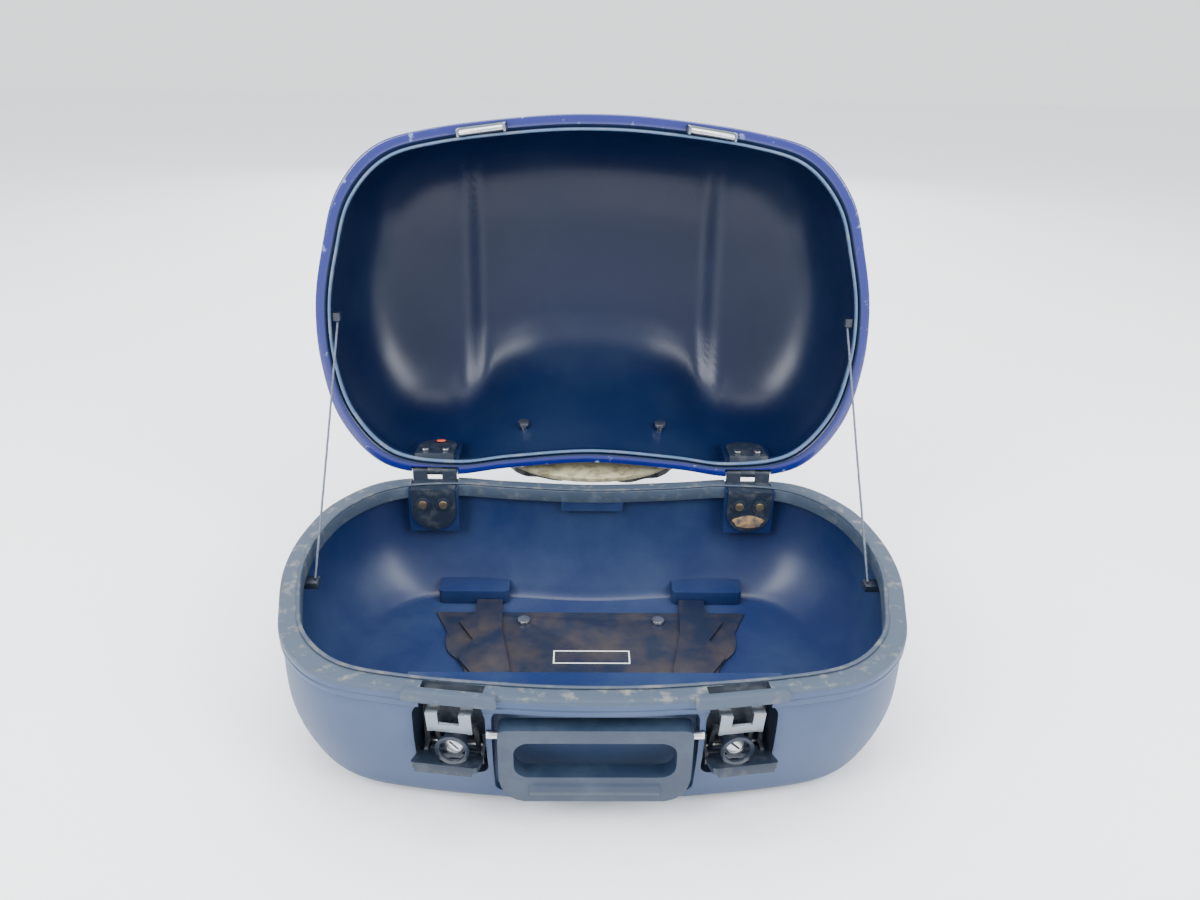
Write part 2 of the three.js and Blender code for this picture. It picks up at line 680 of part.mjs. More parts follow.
// ---------------------------------------------------------------- carrying handle
const handleGroup = new THREE.Group(); // hangs from its pins, following the front wall
handleGroup.position.set(0, HANDLE_Y, HANDLE_Z);
handleGroup.rotation.x = HANDLE_TILT;
root.add(handleGroup);

function handle() {
  const h = HANDLE_HALF;
  const outline = new THREE.Shape();
  outline.moveTo(-h, 4);
  outline.lineTo(-h, -HANDLE_LENGTH + 22);
  outline.quadraticCurveTo(-h + 2, -HANDLE_LENGTH + 3, -h + 18, -HANDLE_LENGTH);
  outline.lineTo(h - 18, -HANDLE_LENGTH);
  outline.quadraticCurveTo(h - 2, -HANDLE_LENGTH + 3, h, -HANDLE_LENGTH + 22);
  outline.lineTo(h, 4);
  outline.quadraticCurveTo(h, 10, h - 7, 10);
  outline.lineTo(-h + 7, 10);
  outline.quadraticCurveTo(-h, 10, -h, 4);
  outline.holes.push(roundedRectangle(-58, 58, -35.5, -2, 11, THREE.Path));
  const half = HANDLE_THICK / 2;
  const frame = plateXZ(outline, -half, half, 5);
  const grip = rod("x", 9, -h + 22, h - 22, [0, -HANDLE_LENGTH + 12], 12);
  const pinHole = [-1, 1].map((s) => {
    const ends = [s * 59.5, s * 80].sort((a, b) => a - b);
    return rod("x", 3.3, ...ends, [0, 0], 10);
  });
  return cut(join(frame, grip), ...pinHole);
}
piece("carry_handle", handle(), BLACK_PLASTIC, handleGroup);
for (const [side, s] of SIDES) {
  const ends = [s * 60, s * 77].sort((a, b) => a - b);
  piece(`handle_pin_${side}`, rod("x", 3, ...ends, [HANDLE_Y, HANDLE_Z], 10), STEEL);
}

// ---------------------------------------------------------------- backrest
function backrestOutline(shrink) {
  const side = 104 - shrink;
  const top = 112 - shrink;
  const bottom = -6.4 + shrink;
  const outline = new THREE.Shape();
  outline.moveTo(-side, 62);
  outline.quadraticCurveTo(-side + 4, top, -62, top);
  outline.lineTo(62, top);
  outline.quadraticCurveTo(side - 4, top, side, 62);
  outline.bezierCurveTo(88, 12, 44, bottom, 0, bottom);
  outline.bezierCurveTo(-44, bottom, -88, 12, -side, 62);
  return outline;
}
const BOARD_THICK = 4.5;
const board = plateXZ(backrestOutline(0), 0, BOARD_THICK, 8);
piece("backrest_board", inPadFrame(cut(board, ...SIDES.map(([, s]) =>
  rod("y", 3.1, -5, 3.6, [s * PAD_BOLT_X, PAD_BOLT_Z], 10)))), BOARD, lidFrame);
// The cushion is thin at its lower end, which swings in over the tub when the lid opens.
const CUSHION_SECTION = [
  [BOARD_THICK + GAP, 0.5],
  [8, 0.5],
  [12, 4],
  [26, 28],
  [26, 84],
  [16, 110],
  [BOARD_THICK + GAP, 110],
];
const foam = plateYZ(CUSHION_SECTION, -110, 110).intersect(
  plateXZ(backrestOutline(2), 0, 40, 8),
);
piece("backrest_cushion", inPadFrame(foam), VINYL, lidFrame);
for (const [side, s] of SIDES) {
  const at = [s * PAD_BOLT_X, PAD_BOLT_Z];
  const bolt = join(rod("y", 2.8, -20, 3.3, at, 10), rod("y", 5.5, -23, -19.5, at, 12));
  piece(`backrest_bolt_${side}`, inPadFrame(bolt), STEEL, lidFrame);
}

// ---------------------------------------------------------------- lid cords
const CORD_STEPS = 24;
for (const [side, s] of SIDES) {
  const [cx, cy, cz] = CORD_CASE;
  const caseX = [s * (cx - 3), s * (cx + 14.4)].sort((a, b) => a - b);
  piece(`cord_clip_${side}`, block(...caseX, cy - 6, cy + 6, cz - 7, cz - 1.2), DARK_PLASTIC);
  const [lx, ly, lz] = CORD_LID;
  const lidX = [s * (lx - 3), s * (lx + 3.6)].sort((a, b) => a - b);
  piece(`lid_cord_clip_${side}`, block(...lidX, ly - 9, ly - 1.3, lz - 3, lz + 4), DARK_PLASTIC, lidFrame);

  lidGroup.updateWorldMatrix(true, false);
  lidFrame.updateWorldMatrix(true, false);
  const top = new THREE.Vector3(s * lx, ly, lz).applyMatrix4(lidFrame.matrixWorld);
  const bottom = new THREE.Vector3(s * cx, cy, cz);
  const path = new THREE.LineCurve3(bottom, top);
  const section = new THREE.Shape();
  section.absarc(0, 0, CORD_RADIUS, 0, Math.PI * 2);
  const tube = new THREE.ExtrudeGeometry(section, {
    steps: CORD_STEPS,
    extrudePath: path,
    curveSegments: 4,
  });
  piece(`lid_cord_${side}`, solid(tube), CORD);
}

export default root;
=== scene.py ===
import json
import math

import bmesh
import bpy
import numpy as np
from mathutils import Matrix, Vector

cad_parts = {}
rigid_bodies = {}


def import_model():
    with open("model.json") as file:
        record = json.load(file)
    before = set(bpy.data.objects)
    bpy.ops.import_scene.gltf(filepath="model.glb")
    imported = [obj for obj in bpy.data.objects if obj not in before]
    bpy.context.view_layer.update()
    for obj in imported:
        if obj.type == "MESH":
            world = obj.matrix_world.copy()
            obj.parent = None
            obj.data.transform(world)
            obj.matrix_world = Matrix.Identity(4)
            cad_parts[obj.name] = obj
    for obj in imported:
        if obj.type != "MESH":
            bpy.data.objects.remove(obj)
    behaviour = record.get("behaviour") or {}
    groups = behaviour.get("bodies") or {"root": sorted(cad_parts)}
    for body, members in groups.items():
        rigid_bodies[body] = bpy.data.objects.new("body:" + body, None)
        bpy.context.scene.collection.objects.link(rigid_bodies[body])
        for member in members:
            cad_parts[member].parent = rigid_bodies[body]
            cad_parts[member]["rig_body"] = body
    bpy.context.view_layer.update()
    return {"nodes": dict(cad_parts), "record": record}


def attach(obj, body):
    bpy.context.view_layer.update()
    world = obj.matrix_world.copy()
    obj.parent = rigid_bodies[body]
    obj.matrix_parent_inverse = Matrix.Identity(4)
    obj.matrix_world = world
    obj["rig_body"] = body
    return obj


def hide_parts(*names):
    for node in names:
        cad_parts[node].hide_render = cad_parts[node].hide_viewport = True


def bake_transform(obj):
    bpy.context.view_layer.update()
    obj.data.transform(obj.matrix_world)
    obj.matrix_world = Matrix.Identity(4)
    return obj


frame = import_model()
NODES = frame["nodes"]
MM = 0.001
SIDES = (("left", -1), ("right", 1))

# ---------------------------------------------------------------- shared dimensions (mm)
RIM_Z, LID_Z = 121.0, 124.0
HINGE = Vector((0, 167.0, 129.3))
OPEN = math.radians(97.2)
HINGE_X = 155.0
LATCH_X, LATCH_Y, LATCH_YAW = 102.0, -162.0, math.radians(8)
POCKET_TOP = 114.6
HANDLE_Y, HANDLE_Z = -164.0, 88.0
PAD_TILT, PAD_Y = math.radians(16), 168.5
PAD_BOLT_X, PAD_BOLT_Z = 70, 61
HINGE_PAD = 24  # half the width of the pad behind a leaf
HINGE_POCKET = 22.6  # half the width of the room for a leaf
RIVET_X, RIVET_Z, LID_RIVET_Z = 10, 105, 137
RIVET_HOLE, RIVET_COUNTERBORE = 2.8, 5
FLOOR_BOLT_X, FLOOR_BOLT_Y, PANEL_TOP = 64.5, 78.6, 12.1
CORD_CASE, CORD_LID = (238, 12, 103), (241.3, 20, 130)
CORD_SAG, CORD_RADIUS, CORD_STEPS = 0.0022, 0.00098, 160
CUSHION_INSET, CUSHION_VOXEL, CUSHION_CAP = 0.0045, 0.0045, 0.0075
CUSHION_PRESSURE, CUSHION_FRAMES, SEAM_DEPTH = 4, 20, 0.0016
RING_POINTS = 192
LID_AT = Matrix.Translation(HINGE) @ Matrix.Rotation(-OPEN, 4, "X") @ Matrix.Translation(-HINGE)
PAD_AT = Matrix.Translation((0, PAD_Y, LID_Z)) @ Matrix.Rotation(PAD_TILT, 4, "X")


def latch_at(sign):
    return Matrix.Translation((sign * LATCH_X, LATCH_Y, 0)) @ Matrix.Rotation(sign * LATCH_YAW, 4, "Z")


# ---------------------------------------------------------------- materials
def worn(name, color, rough, metal=0.0, coat=0.0, dirt=None, amount=0.35, scale=30.0, fine=400.0,
         bump=0.0004, rough_spread=0.12, low=0.45, high=0.75, upward=0.0, spec=0.5):
    """A surface with dust or wear in soft patches, a little grain and uneven gloss."""
    m = bpy.data.materials.new(name)
    m.use_nodes = True
    t = m.node_tree
    t.nodes.clear()
    out = t.nodes.new("ShaderNodeOutputMaterial")
    p = t.nodes.new("ShaderNodeBsdfPrincipled")
    t.links.new(p.outputs["BSDF"], out.inputs["Surface"])
    p.inputs["Metallic"].default_value = metal
    p.inputs["Coat Weight"].default_value = coat
    p.inputs["Coat Roughness"].default_value = 0.08
    p.inputs["Specular IOR Level"].default_value = spec
    co = t.nodes.new("ShaderNodeTexCoord")
    big = t.nodes.new("ShaderNodeTexNoise")
    big.inputs["Scale"].default_value = scale
    big.inputs["Detail"].default_value = 7.0
    big.inputs["Roughness"].default_value = 0.62
    t.links.new(co.outputs["Object"], big.inputs["Vector"])
    ramp = t.nodes.new("ShaderNodeMapRange")
    ramp.inputs["From Min"].default_value = low
    ramp.inputs["From Max"].default_value = high
    ramp.inputs["To Min"].default_value = 0.0
    ramp.inputs["To Max"].default_value = amount
    t.links.new(big.outputs["Fac"], ramp.inputs["Value"])
    factor = ramp.outputs["Result"]
    if upward:
        geo = t.nodes.new("ShaderNodeNewGeometry")
        sep = t.nodes.new("ShaderNodeSeparateXYZ")
        t.links.new(geo.outputs["Normal"], sep.inputs["Vector"])
        up = t.nodes.new("ShaderNodeMapRange")
        up.inputs["From Min"].default_value = 0.2
        up.inputs["From Max"].default_value = 1.0
        up.inputs["To Min"].default_value = 1.0 - upward
        up.inputs["To Max"].default_value = 1.0
        t.links.new(sep.outputs["Z"], up.inputs["Value"])
        mul = t.nodes.new("ShaderNodeMath")
        mul.operation = "MULTIPLY"
        t.links.new(factor, mul.inputs[0])
        t.links.new(up.outputs["Result"], mul.inputs[1])
        factor = mul.outputs["Value"]
    mix = t.nodes.new("ShaderNodeMix")
    mix.data_type = "RGBA"
    mix.inputs[6].default_value = (*color, 1)
    mix.inputs[7].default_value = (*(dirt or [min(1, c * 1.8 + 0.05) for c in color]), 1)
    t.links.new(factor, mix.inputs[0])
    t.links.new(mix.outputs[2], p.inputs["Base Color"])
    rr = t.nodes.new("ShaderNodeMapRange")
    rr.inputs["To Min"].default_value = max(0.02, rough - rough_spread / 2)
    rr.inputs["To Max"].default_value = min(1, rough + rough_spread)
    t.links.new(big.outputs["Fac"], rr.inputs["Value"])
    t.links.new(rr.outputs["Result"], p.inputs["Roughness"])
    grain = t.nodes.new("ShaderNodeTexNoise")
    grain.inputs["Scale"].default_value = fine
    grain.inputs["Detail"].default_value = 3.0
    t.links.new(co.outputs["Object"], grain.inputs["Vector"])
    b = t.nodes.new("ShaderNodeBump")
    b.inputs["Strength"].default_value = 0.5
    b.inputs["Distance"].default_value = bump
    t.links.new(grain.outputs["Fac"], b.inputs["Height"])
    t.links.new(b.outputs["Normal"], p.inputs["Normal"])
    return m


SAND = (0.30, 0.28, 0.22)
M = {
    "tub": worn("tub outer plastic", (0.023, 0.045, 0.105), 0.48, dirt=(0.055, 0.085, 0.150), amount=0.7,
                scale=7, fine=900, bump=0.00025, upward=0.3, spec=0.45),
    "tub_in": worn("tub inner plastic", (0.0065, 0.0170, 0.0700), 0.32, dirt=(0.022, 0.042, 0.095), amount=0.8,
                   scale=9, fine=900, bump=0.0002, rough_spread=0.16, spec=0.42),
    "flange": worn("dusty flange", (0.036, 0.054, 0.085), 0.55, dirt=SAND, amount=0.55, scale=75,
                   fine=1500, bump=0.0004, low=0.54, high=0.74, upward=0.6, spec=0.45),
    "lid_paint": worn("royal blue paint", (0.0030, 0.0080, 0.1250), 0.20, coat=0.5, dirt=(0.25, 0.33, 0.50),
                      amount=0.7, scale=75, fine=1200, bump=0.00008, low=0.62, high=0.70, spec=0.5),
    "lid_in": worn("lid inner plastic", (0.0028, 0.0085, 0.0380), 0.28, dirt=(0.008, 0.020, 0.050), amount=0.6,
                   scale=8, fine=900, bump=0.0002, rough_spread=0.14, spec=0.36),
    "dark_plastic": worn("black plastic", (0.010, 0.016, 0.030), 0.36, dirt=(0.12, 0.12, 0.12), amount=0.4,
                         scale=90, fine=1400, low=0.52, spec=0.5),
    "handle": worn("handle plastic", (0.009, 0.020, 0.044), 0.42, dirt=(0.035, 0.055, 0.080), amount=0.6,
                   scale=40, fine=1400, bump=0.0004, low=0.45, spec=0.5),
    "floor": worn("dusty floor panel", (0.0060, 0.0110, 0.0300), 0.38, dirt=(0.050, 0.037, 0.030), amount=0.8,
                  scale=26, fine=1400, low=0.42, high=0.74, spec=0.5),
    "carrier": worn("coated plate", (0.010, 0.012, 0.018), 0.5, metal=0.2, scale=20, spec=0.35),
    "rubber": worn("grey rubber", (0.030, 0.045, 0.075), 0.6, dirt=SAND, amount=0.35, scale=60, low=0.5),
    "bead": worn("pale bead", (0.060, 0.110, 0.200), 0.45, dirt=SAND, amount=0.4, scale=60, low=0.5),
    "steel": worn("plated steel", (0.55, 0.57, 0.60), 0.27, metal=1.0, dirt=(0.16, 0.11, 0.06), amount=0.6,
                  scale=90, low=0.5, high=0.8),
    "dull_steel": worn("dull steel", (0.20, 0.23, 0.27), 0.30, metal=0.9, dirt=(0.26, 0.22, 0.15),
                       amount=0.6, scale=130, low=0.50, high=0.75),
    "brass": worn("dulled brass", (0.78, 0.58, 0.30), 0.28, metal=1.0, dirt=(0.22, 0.12, 0.05), amount=0.5,
                  scale=160),
    "vinyl": worn("black vinyl", (0.014, 0.014, 0.017), 0.5, fine=2600, bump=0.0006, scale=20, spec=0.4),
    "board": worn("tan hardboard", (0.33, 0.30, 0.19), 0.85, dirt=(0.12, 0.095, 0.050), amount=0.9,
                  scale=95, low=0.42, high=0.66, bump=0.0006),
    "cord": worn("grey cord", (0.09, 0.11, 0.15), 0.85, dirt=(0.03, 0.03, 0.035), amount=0.6, scale=300),
    "red": worn("orange red dot", (0.75, 0.10, 0.03), 0.4, amount=0.2, scale=120),
    "white": worn("pale print", (0.75, 0.78, 0.80), 0.5, amount=0.2, scale=80),
    "rust": worn("rusty stain", (0.30, 0.19, 0.08), 0.7, dirt=(0.05, 0.05, 0.07), amount=0.9, scale=150,
                 low=0.40, high=0.62),
}
SLOT_LOOK = {s["node"]: s["material_slot"] for s in frame["record"]["subparts"]}


# ---------------------------------------------------------------- mesh helpers
def new_object(name, mesh, mats):
    obj = bpy.data.objects.new(name, mesh)
    bpy.context.scene.collection.objects.link(obj)
    for m in mats:
        mesh.materials.append(m)
    return obj


def shade(mesh, angle=38):
    """Smooth faces, with edges sharper than the angle kept crisp."""
    limit = math.radians(angle)
    bm = bmesh.new()
    bm.from_mesh(mesh)
    for e in bm.edges:
        e.smooth = not (len(e.link_faces) == 2 and e.calc_face_angle(0) > limit)
    for f in bm.faces:
        f.smooth = True
    bm.to_mesh(mesh)
    bm.free()


def mesh_from(verts, faces, name="m", indices=None):
    mesh = bpy.data.meshes.new(name)
    mesh.from_pydata([tuple(v) for v in verts], [], faces)
    if indices is not None:
        mesh.polygons.foreach_set("material_index", indices)
    mesh.update()
    return mesh


def bevel_mesh(mesh, width, segments=2, angle=30, dissolve=True):
    bm = bmesh.new()
    bm.from_mesh(mesh)
    bmesh.ops.remove_doubles(bm, verts=bm.verts[:], dist=2e-6)
    if dissolve:
        bmesh.ops.dissolve_limit(bm, angle_limit=math.radians(0.6), verts=bm.verts[:], edges=bm.edges[:])
    edges = [e for e in bm.edges if len(e.link_faces) == 2 and e.calc_face_angle(0) > math.radians(angle)]
    if edges and width > 0:
        bmesh.ops.bevel(bm, geom=edges, offset=width, segments=segments, profile=0.55, affect="EDGES",
                        clamp_overlap=True)
    bm.to_mesh(mesh)
    bm.free()


def refine(node, width=0.5, segments=2, look=None, angle=30):
    """The CAD node with rounded edges and its finish."""
    src = NODES[node]
    mesh = src.data.copy()
    mesh.materials.clear()
    bevel_mesh(mesh, width * MM, segments, angle)
    mesh.polygons.foreach_set("material_index", [0] * len(mesh.polygons))
    obj = new_object(node + "_look", mesh, [M[look or SLOT_LOOK[node]]])
    shade(mesh)
    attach(obj, src["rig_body"])
    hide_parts(node)
    return obj


def own(name, mesh, body, look, at=None, smooth_angle=38):
    """A piece drawn in millimetres, placed by a matrix in millimetres, riding on a body."""
    matrix = Matrix.Scale(MM, 4) @ (at or Matrix.Identity(4))
    mesh.transform(matrix)
    looks = look if isinstance(look, (list, tuple)) else [look]
    obj = new_object(name, mesh, [M[l] for l in looks])
    shade(mesh, smooth_angle)
    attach(obj, body)
    return obj


def outline_points(n):
    half = [(0, -169.5), (62, -166.5), (146, -155.5), (199, -139), (234, -100.5), (250, -50.5), (260, 3),
            (258.5, 60), (243, 116), (204, 159.5), (141, 170), (83, 163), (0, 156.5)]
    pts = np.array(half + [(-x, y) for x, y in half[1:-1][::-1]], float)
    count = len(pts)
    found = []
    for i in range(n):
        t = i / n * count
        k = int(t)
        u = t - k
        p0, p1, p2, p3 = (pts[(k + j - 1) % count] for j in range(4))
        m1, m2 = (p2 - p0) / 2, (p3 - p1) / 2
        found.append((2 * u**3 - 3 * u**2 + 1) * p1 + (u**3 - 2 * u**2 + u) * m1
                     + (-2 * u**3 + 3 * u**2) * p2 + (u**3 - u**2) * m2)
    return np.array(found)


OUTLINE = outline_points(RING_POINTS)


def ring(z, side, front=None, back=None):
    front = side if front is None else front
    back = side if back is None else back
    depth = np.where(OUTLINE[:, 1] < 0, 1 - front / 169.5, 1 - back / 163.0)
    return np.c_[OUTLINE[:, 0] * (1 - side / 260.0), OUTLINE[:, 1] * depth, np.full(len(OUTLINE), float(z))]


def smooth(a, b, v):
    t = np.clip((v - a) / (b - a), 0, 1)
    return t * t * (3 - 2 * t)


def dense(rows, per=3):
    """Rows joined by a centripetal curve through all of them."""
    p = np.array(rows, float)
    p = np.vstack([2 * p[0] - p[1], p, 2 * p[-1] - p[-2]])
    made = []
    for i in range(1, len(p) - 2):
        p0, p1, p2, p3 = p[i - 1 : i + 3]
        t0 = 0.0
        t1 = t0 + max(1e-3, np.linalg.norm(p1 - p0) ** 0.5)
        t2 = t1 + max(1e-3, np.linalg.norm(p2 - p1) ** 0.5)
        t3 = t2 + max(1e-3, np.linalg.norm(p3 - p2) ** 0.5)
        for k in range(per):
            t = t1 + (t2 - t1) * k / per
            a1 = (t1 - t) / (t1 - t0) * p0 + (t - t0) / (t1 - t0) * p1
            a2 = (t2 - t) / (t2 - t1) * p1 + (t - t1) / (t2 - t1) * p2
            a3 = (t3 - t) / (t3 - t2) * p2 + (t - t2) / (t3 - t2) * p3
            b1 = (t2 - t) / (t2 - t0) * a1 + (t - t0) / (t2 - t0) * a2
            b2 = (t3 - t) / (t3 - t1) * a2 + (t - t1) / (t3 - t1) * a3
            made.append((t2 - t) / (t2 - t1) * b1 + (t - t1) / (t2 - t1) * b2)
    made.append(p[-2])
    return [list(r) for r in made]


def loft(rings, looks, looped=False, name="loft"):
    """Skins rings; looks holds one material index per band. Open stacks get a cap at each end."""
    n = len(rings[0])
    verts = np.concatenate(rings)
    faces, idx = [], []
    bands = len(rings) if looped else len(rings) - 1
    for k in range(bands):
        lo, hi = k * n, ((k + 1) % len(rings)) * n
        for i in range(n):
            j = (i + 1) % n
            faces.append((lo + i, lo + j, hi + j, hi + i))
            idx.append(looks[k] if k < len(looks) else looks[-1])
    verts = list(verts)
    if not looped:
        for k, flip, look in ((0, True, looks[0]), (len(rings) - 1, False, looks[-1])):
            start = k * n
            verts.append(np.array([0, 0, rings[k][:, 2].mean()]))
            for i in range(n):
                j = (i + 1) % n
                a, b = (start + j, start + i) if flip else (start + i, start + j)
                faces.append((len(verts) - 1, a, b))
                idx.append(look)
    mesh = mesh_from(verts, faces, name, idx)
    bm = bmesh.new()
    bm.from_mesh(mesh)
    bmesh.ops.recalc_face_normals(bm, faces=bm.faces[:])
    bm.to_mesh(mesh)
    bm.free()
    return mesh


def prism(points, lo, hi, axis="y", look=0, name="prism"):
    """An outline swept along an axis. Points are (x, z) for y, (y, z) for x and (x, y) for z."""
    place = {
        "y": lambda p, t: (p[0], t, p[1]),
        "x": lambda p, t: (t, p[0], p[1]),
        "z": lambda p, t: (p[0], p[1], t),
    }[axis]
    n = len(points)
    verts = [place(p, lo) for p in points] + [place(p, hi) for p in points]
    faces = [tuple(range(n)), tuple(range(2 * n - 1, n - 1, -1))]
    faces += [(i, i + n, (i + 1) % n + n, (i + 1) % n) for i in range(n)]
    mesh = mesh_from(verts, faces, name, [look] * len(faces))
    bm = bmesh.new()
    bm.from_mesh(mesh)
    bmesh.ops.recalc_face_normals(bm, faces=bm.faces[:])
    bm.to_mesh(mesh)
    bm.free()
    return mesh


def rounded(x0, x1, y0, y1, r, seg=8):
    pts = []
    corners = ((x1 - r, y0 + r, -90), (x1 - r, y1 - r, 0), (x0 + r, y1 - r, 90), (x0 + r, y0 + r, 180))
    for cx, cy, a0 in corners:
        for k in range(seg + 1):
            a = math.radians(a0 + 90 * k / seg)
            pts.append((cx + r * math.cos(a), cy + r * math.sin(a)))
    return pts


def disc(cx, cy, r, seg=32, ry=None):
    return [(cx + r * math.cos(2 * math.pi * k / seg), cy + (ry or r) * math.sin(2 * math.pi * k / seg))
            for k in range(seg)]


def box_mesh(x0, x1, y0, y1, z0, z1, look=0):
    return prism([(x0, z0), (x1, z0), (x1, z1), (x0, z1)], y0, y1, "y", look)


def merged(*meshes):
    bm = bmesh.new()
    for m in meshes:
        bm.from_mesh(m)
    out = bpy.data.meshes.new("merged")
    bm.to_mesh(out)
    bm.free()
    return out


def placed(mesh, at):
    mesh.transform(at)
    return mesh


def boolean(mesh, other, operation):
    a = new_object("bool_a", mesh, [])
    b = new_object("bool_b", other, [])
    mod = a.modifiers.new("b", "BOOLEAN")
    mod.operation = operation
    mod.solver = "EXACT"
    mod.object = b
    dg = bpy.context.evaluated_depsgraph_get()
    dg.update()
    out = bpy.data.meshes.new_from_object(a.evaluated_get(dg))
    bpy.data.objects.remove(a)
    bpy.data.objects.remove(b)
    return out


# ---------------------------------------------------------------- tub
def tub_mesh():
    body = [[6, 26, 27, 26], [9, 20, 23.5, 21], [14, 15, 20.5, 17], [22, 11, 17.5, 13], [38, 5.5, 12, 9],
            [58, 2, 6.5, 5], [80, 1.5, 3, 3], [100, 2, 2.5, 3], [106, 2.5, 3, 3.5]]
    lip = [[106.6, 2.2, 2.6, 3.2], [107.6, 0.9, 0.9, 1.4], [108.6, 0.3, 0.3, 0.7], [112, 0.2, 0.2, 0.4],
           [112.6, 0.9, 0.9, 1.1], [113.4, 0.9, 0.9, 1.1], [114, 0.1, 0.1, 0.2],
           [118.4, 0, 0, 0], [120, 0.4, 0.4, 0.4], [120.8, 1.0, 1.0, 1.0], [RIM_Z, 2.0, 2.0, 2.0]]
    top = [[RIM_Z, 6, 6, 6], [RIM_Z, 12.6, 12.6, 12.6],
           [RIM_Z - 0.1, 15.9, 15.9, 15.9], [RIM_Z - 0.9, 16.8, 16.8, 16.8],
           [109.4, 17.4, 17.4, 17.4], [108.6, 16.6, 16.6, 16.9]]
    inner = [[106, 7.4, 7.9, 10.4], [80, 7, 8, 12], [55, 11, 11.5, 17], [34, 20, 18, 25], [20, 32, 26, 32],
             [12, 44, 33, 37], [9.5, 52, 38, 41]]
    outside = dense(body, 4)
    inside = dense(inner, 4)
    rows = outside + lip + top + inside
    looks = [0] * (len(outside) + 7) + [1] * (3 + len(top)) + [2] * len(inside)
    mesh = loft([ring(*r) for r in rows], looks, name="tub")
    hull = loft([ring(*r) for r in outside + lip], [0], name="hull")
    boss = boolean(box_mesh(-136, 136, -175, -127.5, 8, 114, 2), hull.copy(), "INTERSECT")
    mesh = boolean(mesh, boss, "UNION")
    extras = [box_mesh(s * HINGE_X - HINGE_PAD, s * HINGE_X + HINGE_PAD, 144, 160, 74, 120.8, 2)
              for _, s in SIDES]
    extras = boolean(merged(*extras), hull.copy(), "INTERSECT")
    mesh = boolean(mesh, extras, "UNION")
    hoods = [placed(prism(rounded(-34, 34, POCKET_TOP + 0.1, 123.4, 3), -3.5, 2.9, "y", 1), latch_at(s))
             for _, s in SIDES]
    mesh = boolean(mesh, merged(*hoods, prism(rounded(-30, 30, 99, 110, 2.5), 141, 150, "y", 2)), "UNION")
    handle_pocket = prism(rounded(-73.5, 73.5, 20, 108, 8), -200, -143, "y", 0)
    mesh = boolean(mesh, handle_pocket, "DIFFERENCE")
    arches, rooms, slots, small = [], [], [], []
    for _, s in SIDES:
        x0, x1 = sorted((-24 * s, 28.5 * s))
        arches.append(placed(prism(rounded(x0, x1, 44, 108, 9), -30, 27, "y", 3), latch_at(s)))
        rooms.append(placed(prism(rounded(-22.5, 22.5, 90, POCKET_TOP, 3), -30, 14, "y", 3), latch_at(s)))
        slots.append(placed(box_mesh(-22.5, 22.5, 3, 13.4, POCKET_TOP - 1, 130, 3), latch_at(s)))
        x = s * HINGE_X
        small.append(box_mesh(x - HINGE_POCKET, x + HINGE_POCKET, 139, 190, 118.6, 123, 1))
        for dx in (-RIVET_X, RIVET_X):
            small.append(prism(disc(x + dx, RIVET_Z, RIVET_HOLE, 16), 138, 170, "y", 3))
            small.append(prism(disc(x + dx, RIVET_Z, RIVET_COUNTERBORE, 20), 160, 180, "y", 3))
        small.append(prism(disc(s * FLOOR_BOLT_X, FLOOR_BOLT_Y, 3.3, 16), 0, 20, "z", 3))
        small.append(prism([(HANDLE_Y + 3.4 * math.cos(a), HANDLE_Z + 3.4 * math.sin(a)) for a in
                            (2 * math.pi * k / 16 for k in range(16))], *sorted((s * 70, s * 77.3)), "x", 3))
    for tools in (arches, rooms, slots):
        mesh = boolean(mesh, merged(*tools), "DIFFERENCE")
    for tool in small:
        mesh = boolean(mesh, tool, "DIFFERENCE")
    return mesh


tub = tub_mesh()
bevel_mesh(tub, 0.8, 2, 42, dissolve=False)
tub = own("tub", tub, "case", ["tub", "flange", "tub_in", "dark_plastic"], smooth_angle=34)
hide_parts("tub_shell")

seal_rows = [(RIM_Z + 0.3, 13.9), (RIM_Z + 1.2, 13.7), (122.7, 14.4), (122.8, 15.3), (122.7, 16.2),
             (RIM_Z + 1.2, 16.9), (RIM_Z + 0.3, 16.7)]
seal = own("seal", loft([ring(z, i) for z, i in seal_rows], [0], True), "case", "rubber", smooth_angle=80)
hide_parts("flange_seal")


# ---------------------------------------------------------------- lid
def lid_ring(row, lift=0.0):
    height, side, front, back = row
    raised = 16 * smooth(60, 140, height)
    dent = 34 * min(1.0, max(0.0, height) / 126)
    r = ring(LID_Z + height - lift, side, front, back)
    x, y = np.abs(r[:, 0]), r[:, 1].copy()
    r[:, 1] = y - dent * (1 - smooth(50, 160, x)) * smooth(0, 110, y)
    r[:, 2] += raised * (1 - smooth(112, 142, x))
    return r


